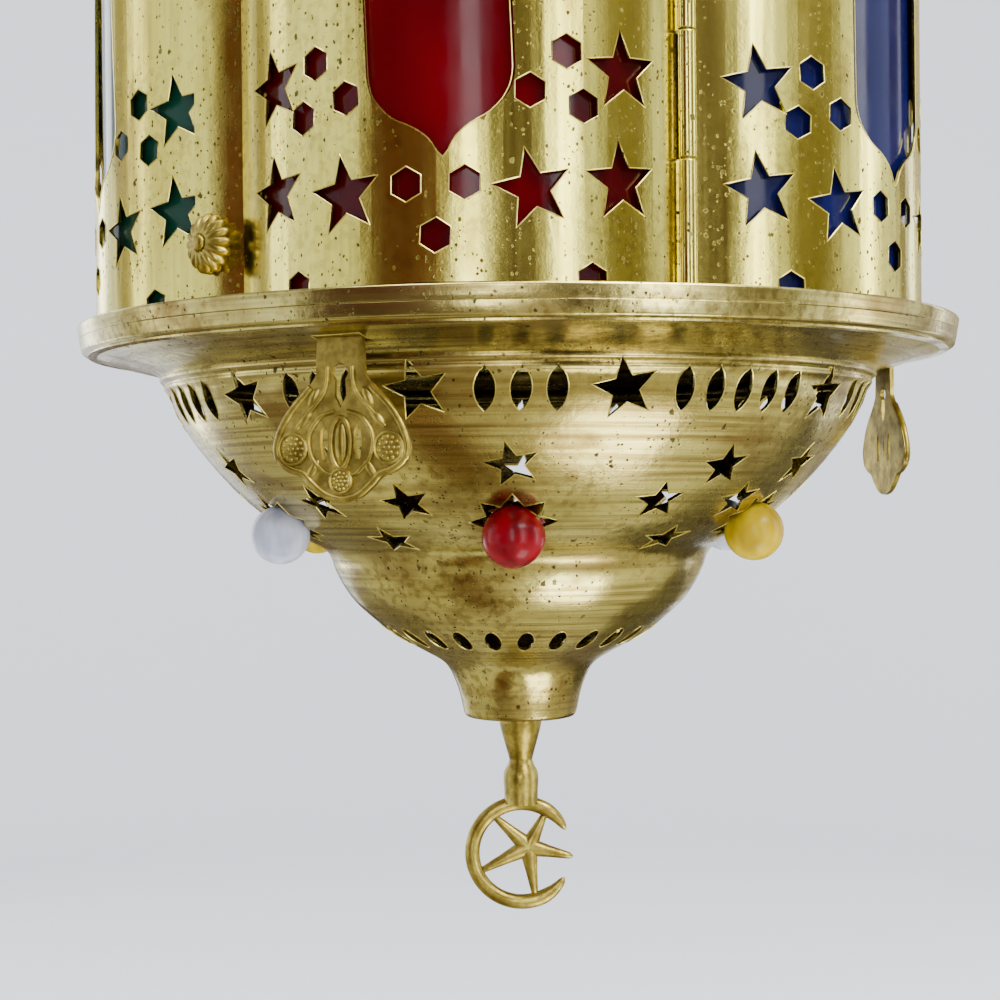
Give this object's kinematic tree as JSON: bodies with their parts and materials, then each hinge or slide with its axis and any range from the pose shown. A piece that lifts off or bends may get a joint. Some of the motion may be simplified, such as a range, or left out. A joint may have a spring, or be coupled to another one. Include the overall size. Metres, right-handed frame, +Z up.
{
  "type": "moroccan hanging lantern",
  "caption": "Hanging lantern with a lobed body of pierced brass and coloured glass, a hinged door, a pierced bowl with glass beads and a crescent finial.",
  "frame": {"origin": "inner top of the hanging ring, where a hook bears", "axes": "+Z up along the lantern axis, -Y through the middle of the door, +X to the right seen from the door side"},
  "size_m": [0.25, 0.25, 0.4971],
  "materials": {
    "spun_brass": "spun and polished brass with lathe lines, gone slightly dull",
    "sheet_brass": "pierced sheet brass with dark pitting",
    "cast_brass": "rough cast or turned brass, darker in the hollows",
    "red_pane_glass": "glossy red sheet glass",
    "blue_pane_glass": "glossy dark blue sheet glass",
    "green_pane_glass": "glossy dark green sheet glass",
    "red_bead_glass": "glossy opaque red glass",
    "yellow_bead_glass": "glossy opaque yellow glass",
    "white_bead_glass": "glossy opaque white glass",
    "frosted_bulb_glass": "frosted white glass",
    "dark_holder_plastic": "dark moulded plastic"
  },
  "bodies": {
    "ring": {"hanging_ring": "cast_brass"},
    "lantern": {"bowl": "spun_brass", "base_plate": "spun_brass", "top_plate": "spun_brass", "cap": "spun_brass", "right_front_panel": "sheet_brass", "right_back_panel": "sheet_brass", "back_panel": "sheet_brass", "left_back_panel": "sheet_brass", "left_front_panel": "sheet_brass", "hinge_post": "sheet_brass", "right_post": "sheet_brass", "right_back_post": "sheet_brass", "left_back_post": "sheet_brass", "left_post": "sheet_brass", "latch_post": "sheet_brass", "front_bead_strap": "sheet_brass", "right_front_bead_strap": "sheet_brass", "right_back_bead_strap": "sheet_brass", "back_bead_strap": "sheet_brass", "left_back_bead_strap": "sheet_brass", "left_front_bead_strap": "sheet_brass", "door_hinge_pin": "cast_brass", "front_pendant_pin": "cast_brass", "right_pendant_pin": "cast_brass", "left_pendant_pin": "cast_brass", "finial": "cast_brass", "finial_nut": "cast_brass", "threaded_tube": "cast_brass", "tube_locknut": "cast_brass", "hanging_loop": "cast_brass", "back_pane": "red_pane_glass", "right_front_pane": "blue_pane_glass", "left_back_pane": "blue_pane_glass", "right_back_pane": "green_pane_glass", "left_front_pane": "green_pane_glass", "front_bead": "red_bead_glass", "back_bead": "red_bead_glass", "right_front_bead": "yellow_bead_glass", "left_back_bead": "yellow_bead_glass", "right_back_bead": "white_bead_glass", "left_front_bead": "white_bead_glass", "bulb": "frosted_bulb_glass", "lamp_holder": "dark_holder_plastic"},
    "door": {"door_panel": "sheet_brass", "door_pane": "red_pane_glass", "door_left_stile": "sheet_brass", "door_right_stile": "sheet_brass", "door_knob": "cast_brass"},
    "front_pendant": {"front_pendant": "cast_brass"},
    "right_pendant": {"right_pendant": "cast_brass"},
    "left_pendant": {"left_pendant": "cast_brass"}
  },
  "joints": [
    {"name": "lantern_swing", "type": "hinge", "parent": "ring", "child": "lantern", "pos_m": [0, 0, -0.0375], "axis": [1, 0, 0], "range_deg": [-45, 45]},
    {"name": "door_hinge", "type": "hinge", "parent": "lantern", "child": "door", "pos_m": [0.05478, -0.09487, -0.2481], "axis": [0, 0, 1], "range_deg": [0, 110]},
    {"name": "front_pendant_swing", "type": "hinge", "parent": "lantern", "child": "front_pendant", "pos_m": [-0.02462, -0.10926, -0.33147], "axis": [0.9755, -0.2198, 0], "range_deg": [-18, 18]},
    {"name": "right_pendant_swing", "type": "hinge", "parent": "lantern", "child": "right_pendant", "pos_m": [0.10693, 0.03331, -0.33147], "axis": [-0.2974, 0.9548, 0], "range_deg": [-18, 18]},
    {"name": "left_pendant_swing", "type": "hinge", "parent": "lantern", "child": "left_pendant", "pos_m": [-0.08231, 0.07595, -0.33147], "axis": [-0.6782, -0.7349, 0], "range_deg": [-18, 18]}
  ]
}
